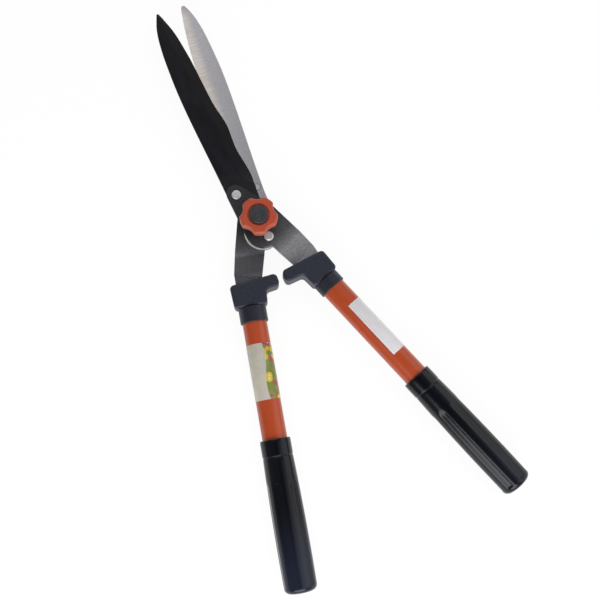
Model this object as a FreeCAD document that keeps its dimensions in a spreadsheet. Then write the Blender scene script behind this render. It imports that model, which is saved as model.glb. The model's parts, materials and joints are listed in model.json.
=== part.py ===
import FreeCAD, Part
import Sketcher
import math
import os

# Hedge shears with two long blades, two cranked levers and two tubular handles.
# Frame: +Y to the blade tips along the line midway between the blades, +Z up through the knob,
# origin on the pivot axis at the outer face of the pivot bolt's head.
# Each half is drawn in a half frame: pivot at the origin, its blade along +Y, its handle on the +X
# side, the sliding face of its blade at Z = 0 and its lever above it. The rear half is the same
# construction turned half a turn about Y, so it lies face to face under the front half.

Vector = FreeCAD.Vector

# Name, value (millimetres or degrees) and meaning of every driving dimension
SIZES = [
    ("rest_opening", 6.34, "angle between the blades at rest, degrees"),
    ("closing_angle", 5.4, "turn from rest until the two stops meet, degrees"),
    ("sliding_gap", 0.1, "gap between the two sliding faces"),
    ("running_fit", 0.05, "radial clearance of a turning fit"),
    ("seat_fit", 0.02, "radial clearance of a seated fit"),
    ("stop_gap", 0.3, "gap left between the stops when closed"),
    ("tip_reach", 248, "pivot to blade tip"),
    ("blade_thickness", 3, "blade plate"),
    ("edge_land", 0.6, "plate left at the cutting edge"),
    ("bevel_width", 9.5, "ground band along the cutting edge"),
    ("front_back_offset", 18.1, "pivot line to the front blade's back"),
    ("rear_back_offset", 16.6, "pivot line to the rear blade's back"),
    ("front_edge_offset", 10.6, "pivot line to the front blade's edge at mid length"),
    ("rear_edge_offset", 9.2, "pivot line to the rear blade's edge at mid length"),
    ("wave_offset", 12.85, "pivot line to the middle of the edge's waves"),
    ("wave_height", 1.05, "half height of the edge's waves"),
    ("wave_length", 54, "length of one wave"),
    ("wave_crest", 106, "pivot to the outer wave's crest"),
    ("edge_start", 28, "pivot to where the shaped edge begins"),
    ("front_shoulder_x", 11, "pivot line to the shoulder below the front blade's edge"),
    ("front_shoulder_y", 22, "pivot to the shoulder below the front blade's edge"),
    ("rear_shoulder_x", 10, "pivot line to the shoulder below the rear blade's edge"),
    ("rear_shoulder_y", 20, "pivot to the shoulder below the rear blade's edge"),
    ("heel_setback", 10.6, "pivot back to the centre of the round heel"),
    ("heel_radius", 18.2, "round heel of blades and levers"),
    ("lever_thickness", 3.5, "lever plate"),
    ("lever_width", 29.6, "lever arm"),
    ("side_start", 3, "outer side of the arm begins this far ahead of the pivot"),
    ("front_outer_taper", 0.1, "front arm's outer side drawn in along the crank"),
    ("front_inner_taper", 1.6, "front arm's inner side drawn in along the crank"),
    ("rear_outer_taper", 1.2, "rear arm's outer side drawn in along the crank"),
    ("rear_inner_taper", 0.6, "rear arm's inner side drawn in along the crank"),
    ("lever_reach", 62, "pivot along the arm to the elbow"),
    ("front_lever_angle", 20.4, "front arm off its blade line, degrees"),
    ("rear_lever_angle", 22.8, "rear arm off its blade line, degrees"),
    ("front_lever_offset", 5.4, "pivot to the front arm's middle line"),
    ("rear_lever_offset", 7.05, "pivot to the rear arm's middle line"),
    ("front_crank_clearance", 8.7, "round heel to the front arm's first crank bend"),
    ("rear_crank_clearance", 3.2, "round heel to the rear arm's first crank bend"),
    ("crank_setback", 5.5, "elbow back to the second crank bend"),
    ("front_handle_angle", 16.9, "front handle off its blade line, degrees"),
    ("rear_handle_angle", 9.1, "rear handle off its blade line, degrees"),
    ("shoulder_depth", 8, "elbow to the arm's shoulders"),
    ("shoulder_width", 24, "arm at its shoulders"),
    ("tang_width", 16, "tang inside the tube"),
    ("tang_length", 66, "elbow to the end of the tang"),
    ("nose_x", 9.6, "middle of a lever's round nose to the pivot line, on the back's side"),
    ("nose_y", 34.8, "middle of a lever's round nose ahead of the pivot"),
    ("front_nose_radius", 9, "round nose of the front lever"),
    ("rear_nose_radius", 5.8, "round nose of the rear lever"),
    ("front_nose_rivet_x", 9.3, "front nose rivet to the pivot line"),
    ("front_nose_rivet_y", 32.9, "front nose rivet ahead of the pivot"),
    ("rear_nose_rivet_x", 10, "rear nose rivet to the pivot line"),
    ("rear_nose_rivet_y", 34.9, "rear nose rivet ahead of the pivot"),
    ("heel_rivet_x", 1.9, "heel rivet off the pivot line"),
    ("heel_rivet_y", 19.4, "heel rivet behind the pivot"),
    ("rivet_diameter", 6, "rivet shank"),
    ("rivet_ring", 0.7, "groove round a rivet's flush end"),
    ("rivet_head_diameter", 9.6, "rivet head"),
    ("rivet_head_height", 2, "domed rivet head"),
    ("bolt_diameter", 9.6, "plain shank of the pivot bolt"),
    ("thread_diameter", 8, "upper end of the pivot bolt"),
    ("bolt_head_diameter", 19, "head of the pivot bolt"),
    ("bolt_head_height", 3.6, "head of the pivot bolt"),
    ("bolt_square", 12, "square neck of the pivot bolt"),
    ("bush_diameter", 14, "pivot bush"),
    ("washer_diameter", 27, "flat washer"),
    ("washer_thickness", 1.2, "flat washer"),
    ("spring_diameter", 21, "dished spring washer"),
    ("spring_thickness", 0.8, "dished spring washer plate"),
    ("spring_rise", 0.9, "height of the spring washer's dish"),
    ("knob_gap", 0.3, "gap under the knob"),
    ("knob_radius", 18.9, "knob over its lobes"),
    ("knob_notch_radius", 16.1, "knob at its notches"),
    ("notch_cutter_radius", 11.2, "round of each notch"),
    ("knob_height", 9.4, "lobed head of the knob"),
    ("boss_height", 6.5, "round boss under the knob's head"),
    ("boss_radius", 12, "round boss under the knob's head"),
    ("knob_rim", 2.4, "rounded upper rim of the knob"),
    ("nut_flats", 13, "nut across its flats"),
    ("nut_height", 6.5, "nut"),
    ("cap_radius", 9.4, "cap in the middle of the knob"),
    ("cap_recess", 3, "depth of the cap's seat"),
    ("cap_dome", 1.6, "height of the cap's dome over the knob"),
    ("cap_groove", 1.7, "width of the groove round the cap"),
    ("groove_depth", 1.4, "depth of the groove round the cap"),
    ("stop_thickness", 24, "stop block in height"),
    ("stop_setback", 6.9, "elbow's reach less the stop block's upper side"),
    ("stop_slant", 2.3, "fall of the upper side towards the nub"),
    ("front_stop_outer", 16.3, "handle line to the front block's outer side, at the top"),
    ("front_stop_inner", 13.9, "handle line to the front block's inner side, at the bottom"),
    ("rear_stop_outer", 18.4, "handle line to the rear block's outer side, at the top"),
    ("rear_stop_inner", 15.9, "handle line to the rear block's inner side, at the bottom"),
    ("stop_taper", 1.4, "block's side drawn in from top to bottom"),
    ("stop_end", 26.7, "elbow to the block's lower side"),
    ("nub_width", 12.5, "nub of the stop block"),
    ("nub_reach", 2.7, "front nub over the pivot line"),
    ("stop_corner", 4.3, "rounded corners of the block"),
    ("stop_rim", 2.6, "rounded rims of the block"),
    ("slot_clearance", 0.3, "clearance of the arm in the block"),
    ("front_collar_length", 11.7, "front collar beyond the block"),
    ("rear_collar_length", 15.4, "rear collar beyond the block"),
    ("collar_wall", 1.6, "collar over the tube"),
    ("collar_rim", 0.9, "rounded rim of the collar"),
    ("tube_diameter", 24.2, "handle tube"),
    ("tube_wall", 1.5, "wall of the handle tube"),
    ("grip_start", 129.4, "block to the mouth of the grip"),
    ("insert_length", 62, "filler piece in the tube"),
    ("pin_diameter", 5, "cross pin"),
    ("pin_setback", 0.4, "pin's ends below the tube's outside"),
    ("grip_length", 141.5, "grip"),
    ("grip_band", 16, "plain band at the grip's mouth"),
    ("band_wall", 2.75, "grip over the tube at its band"),
    ("grip_neck_wall", 2.5, "grip over the tube just past its band"),
    ("grip_end_thickness", 3.6, "grip over the tube's outside near its closed end"),
    ("grip_bulge", 0.8, "rise of the grip's side over a straight taper"),
    ("grip_end_wall", 6, "closed end of the grip"),
    ("grip_end_round", 5, "rounded closed end"),
    ("flute_start", 24, "mouth of the grip to the flutes, past the band"),
    ("flute_width", 9, "flute"),
    ("flute_wall", 2.6, "floor of a flute over the tube, at its upper end"),
    ("flute_end_wall", 2.85, "floor of a flute over the tube, at the closed end"),
    ("front_grip_turn", 38, "turn of the front grip's flutes, degrees"),
    ("rear_grip_turn", 20, "turn of the rear grip's flutes, degrees"),
    ("plug_length", 12, "plug in the tube's far end"),
    ("plug_flange", 1.5, "flange of the plug"),
    ("label_thickness", 0.15, "label"),
    ("rear_label_start", 37.2, "block to the rear handle's label"),
    ("rear_label_length", 54.6, "rear handle's label"),
    ("rear_label_wrap", 300, "turn of the rear handle's label, degrees"),
    ("front_label_start", 35.5, "block to the front handle's label"),
    ("front_label_length", 64.5, "front handle's label"),
    ("front_label_wrap", 144, "turn of the front handle's label, degrees"),
    ("pin_reach", 31.3, "elbow to the cross pin"),
    ("bolt_rise", 0.5, "bolt end over the nut"),
    ("dome_share", 0.85, "part of the rivet head's height that is rounded"),
    ("knob_turn", 36, "turn of the knob at rest, degrees"),
    ("knob_corner", 3, "rounded corners of the lobes"),
    ("rear_label_turn", 90, "middle of the rear label round the tube, degrees"),
    ("front_label_turn", -143, "middle of the front label round the tube, degrees"),
    ("overrun", 2, "how far a cut runs past the face it opens"),
]
LOBES = 5
FLUTES = 6
TOLERANCE = 0.01
SIDES = ("front", "rear")
HEXAGON_SIDES = 6

doc = FreeCAD.newDocument("hedge_shears")
sheet = doc.addObject("Spreadsheet::Sheet", "Sizes")
for row, (alias, value, meaning) in enumerate(SIZES, 1):
    sheet.set(f"A{row}", meaning)
    sheet.set(f"B{row}", str(value))
    sheet.setAlias(f"B{row}", alias)
doc.recompute()


def size(expression):
    """Value of an expression in the sheet's names."""
    value = sheet.evalExpression(expression)
    return float(getattr(value, "Value", value))


def named(expression):
    """The same expression with every sheet name spelled out for binding."""
    words = sorted((entry[0] for entry in SIZES), key=len, reverse=True)
    pieces = []
    word = ""
    for letter in expression + " ":
        if letter.isalnum() or letter == "_":
            word += letter
            continue
        pieces.append("Sizes." + word if word in words else word)
        pieces.append(letter)
        word = ""
    return "".join(pieces).strip()


def bind(item, prop, expression):
    item.setExpression(prop, named(expression))


# Derived places, as expressions in the sheet's names
PIVOT_HEIGHT = "(bolt_head_height + lever_thickness + blade_thickness + sliding_gap / 2)"
LEVER_FLOOR = "(blade_thickness + sliding_gap / 2)"
LEVER_TOP = f"({LEVER_FLOOR} + lever_thickness)"
WASHER_TOP = f"({LEVER_TOP} + washer_thickness)"
SPRING_TOP = f"({WASHER_TOP} + spring_thickness + spring_rise)"
KNOB_FLOOR = f"({SPRING_TOP} + knob_gap)"
HEAD_FLOOR = f"({KNOB_FLOOR} + boss_height)"
KNOB_TOP = f"({HEAD_FLOOR} + knob_height)"
CRANK_END = "(lever_reach - crank_setback)"
STOP_TOP = "(lever_reach - stop_setback)"
TUBE_END = "(stop_end + grip_start + grip_length - grip_end_wall)"


def crank_start(side):
    """Pivot along the arm to its first crank bend."""
    return f"(heel_setback + heel_radius + {side}_crank_clearance)"


def lever_x(side, x, y):
    """Half-frame point in the arm's own frame, across the arm."""
    return f"(({x}) * cos({side}_lever_angle) + ({y}) * sin({side}_lever_angle))"


def lever_y(side, x, y):
    """Half-frame point in the arm's own frame, along the arm."""
    return f"(({y}) * cos({side}_lever_angle) - ({x}) * sin({side}_lever_angle))"


def elbow_x(side):
    """Elbow of the arm in the half frame, across the blade line."""
    return f"({side}_lever_offset * cos({side}_lever_angle) + lever_reach * sin({side}_lever_angle))"


def elbow_y(side):
    """Elbow of the arm in the half frame, along the blade line."""
    return f"({side}_lever_offset * sin({side}_lever_angle) - lever_reach * cos({side}_lever_angle))"


def half_placement(side):
    """From the half frame to the frame of the shears."""
    sign = "" if side == "front" else "-"
    flip = "" if side == "front" else " * placement(vector(0; 0; 0); rotation(vector(0; 1; 0); 180))"
    turn = f"rotation(vector(0; 0; 1); {sign}rest_opening / 2)"
    return f"placement(vector(0; 0; {PIVOT_HEIGHT}); {turn}){flip}"


def arm_placement(side):
    """From the arm's own frame to the frame of the shears."""
    turn = f"rotation(vector(0; 0; 1); {side}_lever_angle)"
    return f"{half_placement(side)} * placement(vector(0; 0; 0); {turn})"


def handle_placement(side):
    """From the handle's frame, elbow at the origin and tube along +Y, to the frame of the shears."""
    place = f"vector({elbow_x(side)}; {elbow_y(side)}; 0)"
    turn = f"rotation(vector(0; 0; 1); 180 + {side}_handle_angle)"
    return f"{half_placement(side)} * placement({place}; {turn})"


def new_body(label, placement):
    body = doc.addObject("PartDesign::Body", label)
    body.Label = label
    bind(body, "Placement", placement)
    return body


def origin_feature(body, role):
    return [item for item in body.Origin.OriginFeatures if item.Role == role][0]


def new_sketch(body, name, plane="XY_Plane", offset="0"):
    """Sketch on one of the body's own planes, moved along the plane's normal."""
    sketch = body.newObject("Sketcher::SketchObject", f"{body.Name}_{name}")
    sketch.AttachmentSupport = [(origin_feature(body, plane), "")]
    sketch.MapMode = "FlatFace"
    bind(sketch, "AttachmentOffset.Base.z", offset)
    return sketch


def fix_point(sketch, geometry, end, x, y):
    """Dimension one point of the sketch from its origin."""
    for kind, expression in (("DistanceX", x), ("DistanceY", y)):
        row = sketch.addConstraint(Sketcher.Constraint(kind, -1, 1, geometry, end, size(expression)))
        bind(sketch, f"Constraints[{row}]", expression)


def bulged_side(start, end, bulge):
    """Arc between two points that swells to the right of the way from start to end."""
    middle = (start + end) / 2
    along = (end - start).normalize()
    return Part.Arc(start, middle + Vector(along.y, -along.x, 0) * bulge, end)


def draw_polygon(sketch, points, bulges=None):
    """Closed outline through points given as pairs of expressions; bulges names arched sides by index."""
    bulges = bulges or {}
    corners = [Vector(size(x), size(y), 0) for x, y in points]
    first = sketch.GeometryCount
    count = len(corners)
    for index in range(count):
        start = corners[index]
        end = corners[(index + 1) % count]
        if index in bulges:
            sketch.addGeometry(bulged_side(start, end, size(bulges[index])), False)
        else:
            sketch.addGeometry(Part.LineSegment(start, end), False)
    for index in range(count):
        following = first + (index + 1) % count
        sketch.addConstraint(Sketcher.Constraint("Coincident", first + index, 2, following, 1))
    for index, (x, y) in enumerate(points):
        fix_point(sketch, first + index, 1, x, y)
    for index, bulge in bulges.items():
        (x1, y1), (x2, y2) = points[index], points[(index + 1) % count]
        chord = f"(({x2} - ({x1})) ^ 2 + ({y2} - ({y1})) ^ 2)"
        radius = f"({chord} / 8 / ({bulge}) + ({bulge}) / 2)"
        row = sketch.addConstraint(Sketcher.Constraint("Radius", first + index, size(radius)))
        bind(sketch, f"Constraints[{row}]", radius)


def draw_circle(sketch, x, y, radius):
    centre = Vector(size(x), size(y), 0)
    circle = sketch.addGeometry(Part.Circle(centre, Vector(0, 0, 1), size(radius)), False)
    fix_point(sketch, circle, 3, x, y)
    row = sketch.addConstraint(Sketcher.Constraint("Radius", circle, size(radius)))
    bind(sketch, f"Constraints[{row}]", radius)


def rectangle(x_low, x_high, y_low, y_high):
    return [(x_low, y_low), (x_high, y_low), (x_high, y_high), (x_low, y_high)]


def add_pad(body, sketch, length, name):
    pad = body.newObject("PartDesign::Pad", f"{body.Name}_{name}")
    pad.Profile = sketch
    bind(pad, "Length", length)
    sketch.Visibility = False
    return pad


def add_pocket(body, sketch, length, name, upwards=True):
    """Cut a sketch out of the body; the cut runs along +Z of the sketch when upwards is set."""
    pocket = body.newObject("PartDesign::Pocket", f"{body.Name}_{name}")
    pocket.Profile = sketch
    pocket.Reversed = upwards
    bind(pocket, "Length", length)
    return pocket


def add_revolution(body, sketch, name, axis="V_Axis", angle="360"):
    turned = body.newObject("PartDesign::Revolution", f"{body.Name}_{name}")
    turned.Profile = sketch
    turned.ReferenceAxis = (sketch, [axis])
    bind(turned, "Angle", angle)
    return turned


def add_fillet(body, base, edges, radius, name):
    fillet = body.newObject("PartDesign::Fillet", f"{body.Name}_{name}")
    fillet.Base = (base, edges)
    bind(fillet, "Radius", radius)
    return fillet


def add_polar(body, feature, axis, count, name):
    pattern = body.newObject("PartDesign::PolarPattern", f"{body.Name}_{name}")
    pattern.Originals = [feature]
    pattern.Axis = (origin_feature(body, axis), [""])
    pattern.Angle = 360
    pattern.Occurrences = count
    body.Tip = pattern
    return pattern


def find_edges(shape, test):
    """Names of the edges whose points all pass a test."""
    names = []
    for index, edge in enumerate(shape.Edges, 1):
        ends = [edge.valueAt(edge.FirstParameter), edge.valueAt(edge.LastParameter)]
        middle = edge.valueAt((edge.FirstParameter + edge.LastParameter) / 2)
        if all(test(point) for point in ends + [middle]):
            names.append(f"Edge{index}")
    return names


def turned_piece(label, placement, points, bulges=None):
    """Piece turned about its own Y axis from an outline of radius and length pairs."""
    body = new_body(label, placement)
    sketch = new_sketch(body, "outline")
    draw_polygon(sketch, points, bulges)
    add_revolution(body, sketch, "turned")
    return body


def upright_piece(label, placement, points):
    """Piece turned about its own Z axis from an outline of radius and height pairs."""
    body = new_body(label, placement)
    sketch = new_sketch(body, "outline", "XZ_Plane")
    draw_polygon(sketch, points)
    add_revolution(body, sketch, "turned")
    return body


# Blades: flat plates with a round heel, bevelled on the outer face along the cutting edge
# Places along the back and the edge, as shares of the reach and of the blade's own offset
BACK_SHARES = {
    "front": [(0.113, 1.0), (0.4, 1.005), (0.57, 1.0), (0.681, 0.94), (0.738, 0.88), (0.796, 0.808),
              (0.851, 0.712), (0.907, 0.564), (0.945, 0.404), (0.97, 0.255), (0.985, 0.163), (0.994, 0.1)],
    "rear": [(0.113, 0.94), (0.383, 0.98), (0.58, 1.01), (0.661, 0.988), (0.72, 0.938), (0.778, 0.868),
             (0.838, 0.776), (0.885, 0.676), (0.925, 0.545), (0.96, 0.385), (0.983, 0.235), (0.991, 0.166)],
}
EDGE_SHARES = {
    "front": [(0.52, 1.07), (0.6, 0.991), (0.69, 0.972), (0.748, 0.953), (0.808, 0.874), (0.865, 0.765),
              (0.915, 0.592), (0.945, 0.42), (0.97, 0.274), (0.985, 0.175), (0.994, 0.108)],
    "rear": [(0.113, 1.16), (0.3, 1.1), (0.5, 1.04), (0.65, 0.99), (0.752, 0.94), (0.809, 0.857),
             (0.864, 0.726), (0.915, 0.574), (0.96, 0.4), (0.983, 0.3), (0.991, 0.228)],
}
WAVE_STEPS = 4
WIDTH_SHARE = 0.5


def tangent_point(outside, centre, radius, turn):
    """Point where a line from outside touches a circle; turn picks the side."""
    reach = outside - centre
    angle = math.atan2(reach.y, reach.x) + turn * math.acos(radius / reach.Length)
    return centre + Vector(radius * math.cos(angle), radius * math.sin(angle), 0)


def edge_points(side):
    """Cutting edge from its base to the tip, in the half frame."""
    reach = size("tip_reach")
    offset = size(f"{side}_edge_offset")
    points = []
    if side == "front":
        length = size("wave_length")
        step = length / WAVE_STEPS
        along = size("wave_crest") - step * math.floor((size("wave_crest") - size("edge_start")) / step)
        while along <= size("wave_crest") + step / 2:
            swing = math.cos(2 * math.pi * (along - size("wave_crest")) / length)
            points.append(Vector(size("wave_offset") + size("wave_height") * swing, along, 0))
            along += step
    points += [Vector(offset * across, reach * along, 0) for along, across in EDGE_SHARES[side]]
    return points


def back_points(side):
    reach = size("tip_reach")
    offset = size(f"{side}_back_offset")
    return [Vector(-offset * across, reach * along, 0) for along, across in BACK_SHARES[side]]


def back_at(side, along):
    """Back offset at a distance from the pivot, straight between the named places."""
    points = back_points(side) + [Vector(0, size("tip_reach"), 0)]
    for low, high in zip(points, points[1:]):
        if along <= high.y:
            share = (along - low.y) / (high.y - low.y)
            return low.x + (high.x - low.x) * max(share, 0)
    return 0


def bevelled(side, points):
    """Upper border of the bevel: the cutting edge drawn in, less where the blade is narrow."""
    drawn = []
    for index, point in enumerate(points):
        width = point.x - back_at(side, point.y)
        inset = min(size("bevel_width"), WIDTH_SHARE * width)
        drawn.append(point - Vector(inset if index else 0, 0, 0))
    return drawn


def spline(points):
    curve = Part.BSplineCurve()
    curve.interpolate(points)
    return curve.toShape()


def blade_wire(side, edge, height):
    """Closed outline of the blade at one height, its tip no longer than a half round."""
    lift = Vector(0, 0, height)
    heel = Vector(0, -size("heel_setback"), 0)
    radius = size("heel_radius")
    back = back_points(side)
    shoulder = Vector(size(f"{side}_shoulder_x"), size(f"{side}_shoulder_y"), 0)
    edge_foot = tangent_point(shoulder, heel, radius, -1)
    back_foot = tangent_point(back[0], heel, radius, 1)
    middle = (edge[-1] + back[-1]) / 2
    rise = min(size("tip_reach") - middle.y, (edge[-1] - back[-1]).Length / 2)
    tip = middle + Vector(0, rise, 0)
    lowest = heel - Vector(0, radius, 0)
    back_curve = spline([point + lift for point in reversed(back)])
    edges = [
        Part.LineSegment(edge_foot + lift, shoulder + lift).toShape(),
        Part.LineSegment(shoulder + lift, edge[0] + lift).toShape(),
        spline([point + lift for point in edge]),
        Part.Arc(edge[-1] + lift, tip + lift, back[-1] + lift).toShape(),
        back_curve,
        Part.LineSegment(back[0] + lift, back_foot + lift).toShape(),
        Part.Arc(back_foot + lift, lowest + lift, edge_foot + lift).toShape(),
    ]
    return Part.Wire(edges)


def cylinder(x, y, radius, low, high):
    return Part.makeCylinder(radius, high - low, Vector(x, y, low))


def blade_shape(side):
    floor = size("sliding_gap / 2")
    land = floor + size("edge_land")
    top = floor + size("blade_thickness")
    edge = edge_points(side)
    inner = bevelled(side, edge)
    base = Part.Face(blade_wire(side, edge, floor)).extrude(Vector(0, 0, land - floor))
    bevel = Part.makeLoft([blade_wire(side, edge, land), blade_wire(side, inner, top)], True, True)
    plate = base.fuse(bevel)
    low = floor - size("overrun")
    high = top + size("overrun")
    pivot_radius = size("bush_diameter / 2" if side == "front" else "bolt_diameter / 2")
    rivet_radius = size("rivet_diameter / 2 + seat_fit")
    ring = size("rivet_ring")
    cuts = [cylinder(0, 0, pivot_radius + size("seat_fit"), low, high)]
    nose_rivet = (-size(f"{side}_nose_rivet_x"), size(f"{side}_nose_rivet_y"))
    heel_rivet = (size("heel_rivet_x"), -size("heel_rivet_y"))
    for x, y in (nose_rivet, heel_rivet):
        cuts.append(cylinder(x, y, rivet_radius, low, high))
        cuts.append(Part.makeCone(rivet_radius + ring, rivet_radius, ring, Vector(x, y, floor)))
    return plate.cut(cuts).removeSplitter()


for side in SIDES:
    blade = doc.addObject("Part::Feature", f"{side}_blade")
    blade.Label = f"{side}_blade"
    blade.Shape = blade_shape(side)
    bind(blade, "Placement", half_placement(side))


# Levers: plate with a round nose and heel, cranked down to the handle's middle and narrowed to a tang
def along_handle(side, along, across):
    """Arm-frame point at a distance from the elbow along and across the handle line."""
    turn = f"({side}_handle_angle - {side}_lever_angle)"
    x = f"{side}_lever_offset + ({along}) * sin({turn}) + ({across}) * cos({turn})"
    y = f"-lever_reach - ({along}) * cos({turn}) + ({across}) * sin({turn})"
    return x, y


def tail_outline(side, clearance):
    """Outline of the arm's end and tang, grown by a clearance."""
    inner = f"(lever_width / 2 - {side}_inner_taper + {clearance})"
    outer = f"(lever_width / 2 - {side}_outer_taper + {clearance})"
    shoulder = f"(shoulder_width / 2 + {clearance})"
    tang = f"(tang_width / 2 + {clearance})"
    depth = f"shoulder_depth + {clearance}"
    end = f"tang_length + {clearance}"
    return [
        (f"{side}_lever_offset - {inner}", f"-{CRANK_END}"),
        along_handle(side, depth, f"-{shoulder}"),
        along_handle(side, depth, f"-{tang}"),
        along_handle(side, end, f"-{tang}"),
        along_handle(side, end, tang),
        along_handle(side, depth, tang),
        along_handle(side, depth, shoulder),
        (f"{side}_lever_offset + {outer}", f"-{CRANK_END}"),
    ]


def head_outline(side):
    """Flat part of the lever between nose, heel and crank, in the arm's frame."""
    radius = f"{side}_nose_radius"
    nose = (lever_x(side, "-nose_x", "nose_y"), lever_y(side, "-nose_x", "nose_y"))
    corner = (f"({side}_lever_offset + lever_width / 2)", "side_start")
    away_x = f"({corner[0]} - {nose[0]})"
    away_y = f"({corner[1]} - {nose[1]})"
    distance = f"sqrt({away_x} * {away_x} + {away_y} * {away_y})"
    angle = f"(atan2({away_y}; {away_x}) + acos({radius} / {distance}))"
    touch = (f"{nose[0]} + {radius} * cos({angle})", f"{nose[1]} + {radius} * sin({angle})")
    left = f"-(nose_x + {radius})"
    return [
        touch,
        nose,
        (lever_x(side, left, "nose_y"), lever_y(side, left, "nose_y")),
        (lever_x(side, "-heel_radius", "-heel_setback"), lever_y(side, "-heel_radius", "-heel_setback")),
        (f"{side}_lever_offset - lever_width / 2", lever_y(side, "0", "-heel_setback")),
        (f"{side}_lever_offset - lever_width / 2", f"-{crank_start(side)}"),
        (f"{side}_lever_offset + lever_width / 2", f"-{crank_start(side)}"),
        corner,
    ]


def make_lever(side):
    body = new_body(f"{side}_lever", arm_placement(side))
    head = new_sketch(body, "head", offset=LEVER_FLOOR)
    draw_polygon(head, head_outline(side))
    add_pad(body, head, "lever_thickness", "head_plate")
    rounds = new_sketch(body, "rounds", offset=LEVER_FLOOR)
    draw_circle(rounds, lever_x(side, "-nose_x", "nose_y"), lever_y(side, "-nose_x", "nose_y"),
                f"{side}_nose_radius")
    draw_circle(rounds, lever_x(side, "0", "-heel_setback"), lever_y(side, "0", "-heel_setback"),
                "heel_radius")
    add_pad(body, rounds, "lever_thickness", "nose_and_heel")
    crank = new_sketch(body, "crank", "YZ_Plane", f"{side}_lever_offset - lever_width / 2")
    draw_polygon(crank, [
        (f"-{crank_start(side)}", LEVER_FLOOR),
        (f"-{crank_start(side)}", LEVER_TOP),
        (f"-{CRANK_END}", "lever_thickness / 2"),
        (f"-{CRANK_END}", "-lever_thickness / 2"),
    ])
    add_pad(body, crank, "lever_width", "crank_strip")
    for name, sign in (("inner", "-"), ("outer", "+")):
        wide = f"{side}_lever_offset {sign} lever_width / 2"
        taper = new_sketch(body, f"{name}_taper", offset="-lever_thickness")
        draw_polygon(taper, [
            (wide, f"-{crank_start(side)}"),
            (f"{wide} {sign} overrun", f"-{crank_start(side)}"),
            (f"{wide} {sign} overrun", f"-{CRANK_END}"),
            (f"{side}_lever_offset {sign} (lever_width / 2 - {side}_{name}_taper)", f"-{CRANK_END}"),
        ])
        add_pocket(body, taper, f"{LEVER_TOP} + lever_thickness + overrun", f"{name}_taper_cut")
    tail = new_sketch(body, "tail", offset="-lever_thickness / 2")
    draw_polygon(tail, tail_outline(side, "0"))
    add_pad(body, tail, "lever_thickness", "tail_plate")
    holes = new_sketch(body, "holes", offset="-lever_thickness")
    rivet = "rivet_diameter / 2 + seat_fit"
    for x, y in ((f"-{side}_nose_rivet_x", f"{side}_nose_rivet_y"), ("heel_rivet_x", "-heel_rivet_y")):
        draw_circle(holes, lever_x(side, x, y), lever_y(side, x, y), rivet)
    pin_x, pin_y = along_handle(side, "pin_reach", "0")
    draw_circle(holes, pin_x, pin_y, "pin_diameter / 2 + seat_fit")
    if side == "front":
        draw_circle(holes, "0", "0", "bush_diameter / 2 + seat_fit")
    else:
        half = "bolt_square / 2 + seat_fit"
        draw_polygon(holes, rectangle(f"-({half})", half, f"-({half})", half))
    add_pocket(body, holes, f"{LEVER_TOP} + lever_thickness + overrun", "hole_cuts")


for side in SIDES:
    make_lever(side)


# Rivets: flush at the sliding face, low domed head on the lever
def make_rivet(side, label, x, y):
    place = f"{half_placement(side)} * placement(vector({x}; {y}; 0); rotation(vector(0; 0; 1); 0))"
    body = upright_piece(label, place, [
        ("0", "sliding_gap / 2"),
        ("rivet_diameter / 2", "sliding_gap / 2"),
        ("rivet_diameter / 2", LEVER_TOP),
        ("rivet_head_diameter / 2", LEVER_TOP),
        ("rivet_head_diameter / 2", f"{LEVER_TOP} + rivet_head_height"),
        ("0", f"{LEVER_TOP} + rivet_head_height"),
    ])
    doc.recompute()
    top = size(f"{LEVER_TOP} + rivet_head_height")
    rim = find_edges(body.Tip.Shape, lambda p: abs(p.z - top) < TOLERANCE
                     and math.hypot(p.x, p.y) > TOLERANCE)
    add_fillet(body, body.Tip, rim, "rivet_head_height * dome_share", "dome")


for side in SIDES:
    make_rivet(side, f"{side}_nose_rivet", f"-{side}_nose_rivet_x", f"{side}_nose_rivet_y")
    make_rivet(side, f"{side}_heel_rivet", "heel_rivet_x", "-heel_rivet_y")


# Pivot: bolt held by its square neck in the rear lever, bush and washers on the front half
bolt = upright_piece("pivot_bolt", arm_placement("rear"), [
    ("0", f"-({KNOB_FLOOR} + nut_height + bolt_rise)"),
    ("thread_diameter / 2", f"-({KNOB_FLOOR} + nut_height + bolt_rise)"),
    ("thread_diameter / 2", f"-{WASHER_TOP}"),
    ("bolt_diameter / 2", f"-{WASHER_TOP}"),
    ("bolt_diameter / 2", LEVER_TOP),
    ("bolt_head_diameter / 2", LEVER_TOP),
    ("bolt_head_diameter / 2", f"{LEVER_TOP} + bolt_head_height"),
    ("0", f"{LEVER_TOP} + bolt_head_height"),
])
neck = new_sketch(bolt, "neck", offset=LEVER_FLOOR)
draw_polygon(neck, rectangle("-bolt_square / 2", "bolt_square / 2", "-bolt_square / 2", "bolt_square / 2"))
add_pad(bolt, neck, "lever_thickness", "square_neck")

upright_piece("pivot_bush", half_placement("front"), rectangle(
    "bolt_diameter / 2 + running_fit", "bush_diameter / 2", "sliding_gap / 2", LEVER_TOP))
upright_piece("flat_washer", half_placement("front"), rectangle(
    "bolt_diameter / 2 + knob_gap", "washer_diameter / 2", LEVER_TOP, WASHER_TOP))
upright_piece("spring_washer", half_placement("front"), [
    ("bolt_diameter / 2 + knob_gap", f"{WASHER_TOP} + spring_rise"),
    ("spring_diameter / 2", WASHER_TOP),
    ("spring_diameter / 2", f"{WASHER_TOP} + spring_thickness"),
    ("bolt_diameter / 2 + knob_gap", SPRING_TOP),
])


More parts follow.
